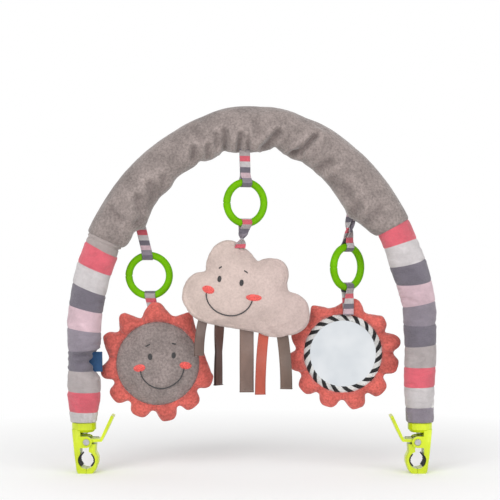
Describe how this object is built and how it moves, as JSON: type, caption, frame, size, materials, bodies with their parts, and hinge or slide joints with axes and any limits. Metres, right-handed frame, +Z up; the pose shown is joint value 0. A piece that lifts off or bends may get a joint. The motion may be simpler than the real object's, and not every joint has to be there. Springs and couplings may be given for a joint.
{
  "type": "stroller play arch",
  "caption": "Padded fabric arch that clips across a stroller, with a plush cloud, a plush sun with a face and a sun with a mirror hanging on snap rings.",
  "frame": {"origin": "midway between the two clamp mouths, on the line through both mouths' centres", "axes": "+Z up the arch, +X towards the leg under the mirror sun, -Y towards the side that the face and the mirror look to"},
  "size_m": [0.3864, 0.0612, 0.3835],
  "materials": {
    "plush_grey": "short grey pile",
    "cuff_grey": "smooth knit",
    "striped_jersey": "jersey with bands of coral, light grey, dark grey, pink and mid grey",
    "navy_tape": "woven tape, blank",
    "stuffing_foam": "polyester foam",
    "rod_aluminium": "bendable rod",
    "plug_plastic": "moulded",
    "clip_plastic": "moulded lime green",
    "pin_steel": "plated",
    "pad_rubber": "ribbed",
    "ring_plastic": "moulded green",
    "ribbon_satin": "woven ribbon, striped",
    "cloud_plush": "short pale pink pile",
    "coral_plush": "short coral pile",
    "strip_grey": "satin",
    "strip_brown": "satin",
    "strip_coral": "satin",
    "wadding": "loose polyester fibre",
    "squeaker_plastic": "moulded",
    "mirror_film": "child-safe mirror film on a plate",
    "binding_tape": "black and white woven tape"
  },
  "bodies": {
    "arch": {"foam_core": "stuffing_foam", "core_rod": "rod_aluminium", "plush_sleeve": "plush_grey", "plush_cuff_left": "cuff_grey", "striped_sleeve_left": "striped_jersey", "striped_sleeve_right": "striped_jersey", "side_tab": "navy_tape", "leg_plug_left": "plug_plastic", "leg_plug_right": "plug_plastic", "swivel_screw_left": "pin_steel", "swivel_screw_right": "pin_steel", "hanger_ribbon_left": "ribbon_satin", "hanger_ribbon_middle": "ribbon_satin", "hanger_ribbon_right": "ribbon_satin"},
    "ring_left": {"ring_left": "ring_plastic"},
    "ring_middle": {"ring_middle": "ring_plastic"},
    "ring_right": {"ring_right": "ring_plastic"},
    "face_sun": {"face_sun_front_panel": "plush_grey", "face_sun_back_panel": "coral_plush", "face_sun_filling": "wadding", "face_sun_rattle": "squeaker_plastic", "face_sun_rays": "coral_plush", "toy_ribbon_left": "ribbon_satin"},
    "cloud": {"cloud_front_panel": "cloud_plush", "cloud_back_panel": "cloud_plush", "cloud_filling": "wadding", "cloud_squeaker": "squeaker_plastic", "toy_ribbon_middle": "ribbon_satin", "rain_strip_1": "strip_grey", "rain_strip_2": "strip_brown", "rain_strip_3": "strip_grey", "rain_strip_4": "strip_coral", "rain_strip_5": "strip_brown"},
    "mirror_sun": {"mirror_sun_back_panel": "coral_plush", "mirror_sun_filling": "wadding", "mirror_sun_rays": "coral_plush", "mirror_binding": "binding_tape", "mirror_disc": "mirror_film", "toy_ribbon_right": "ribbon_satin"},
    "clip_left": {"clip_body_left": "clip_plastic", "clip_pin_left": "pin_steel", "clip_spring_left": "pin_steel", "clip_pad_outer_left": "pad_rubber"},
    "lever_left": {"clip_lever_left": "clip_plastic", "clip_pad_inner_left": "pad_rubber"},
    "clip_right": {"clip_body_right": "clip_plastic", "clip_pin_right": "pin_steel", "clip_spring_right": "pin_steel", "clip_pad_outer_right": "pad_rubber"},
    "lever_right": {"clip_lever_right": "clip_plastic", "clip_pad_inner_right": "pad_rubber"}
  },
  "joints": [
    {"name": "swivel_left", "type": "hinge", "parent": "arch", "child": "clip_left", "pos_m": [-0.176, 0, 0.0387], "axis": [0, 0, 1], "range_deg": [-90, 90]},
    {"name": "lever_left", "type": "hinge", "parent": "clip_left", "child": "lever_left", "pos_m": [-0.1725, 0, 0.019], "axis": [0, -1, 0], "range_deg": [0, 20], "stiffness_Nm_per_rad": 0.3, "springref_deg": -45.84, "deforming": ["clip_spring_left"]},
    {"name": "swivel_right", "type": "hinge", "parent": "arch", "child": "clip_right", "pos_m": [0.176, 0, 0.0387], "axis": [0, 0, 1], "range_deg": [-90, 90]},
    {"name": "lever_right", "type": "hinge", "parent": "clip_right", "child": "lever_right", "pos_m": [0.1725, 0, 0.019], "axis": [0, 1, 0], "range_deg": [0, 20], "stiffness_Nm_per_rad": 0.3, "springref_deg": -45.84, "deforming": ["clip_spring_right"]},
    {"name": "ring_left_swing", "type": "hinge", "parent": "arch", "child": "ring_left", "pos_m": [-0.1087, 0.013, 0.21345], "axis": [1, 0, 0], "range_deg": [-2, 45]},
    {"name": "face_sun_swing", "type": "hinge", "parent": "ring_left", "child": "face_sun", "pos_m": [-0.1087, 0.013, 0.17075], "axis": [1, 0, 0], "range_deg": [-2, 25]},
    {"name": "ring_middle_swing", "type": "hinge", "parent": "arch", "child": "ring_middle", "pos_m": [-0.0068, -0.013, 0.28945], "axis": [0.8988, 0.4384, 0], "range_deg": [-50, 4]},
    {"name": "cloud_swing", "type": "hinge", "parent": "ring_middle", "child": "cloud", "pos_m": [-0.0068, -0.013, 0.24675], "axis": [0.8988, 0.4384, 0], "range_deg": [-25, 4]},
    {"name": "ring_right_swing", "type": "hinge", "parent": "arch", "child": "ring_right", "pos_m": [0.1008, 0.013, 0.22235], "axis": [0.7193, 0.6947, 0], "range_deg": [0, 45]},
    {"name": "mirror_sun_swing", "type": "hinge", "parent": "ring_right", "child": "mirror_sun", "pos_m": [0.1008, 0.013, 0.17965], "axis": [0.7193, 0.6947, 0], "range_deg": [0, 25]}
  ]
}
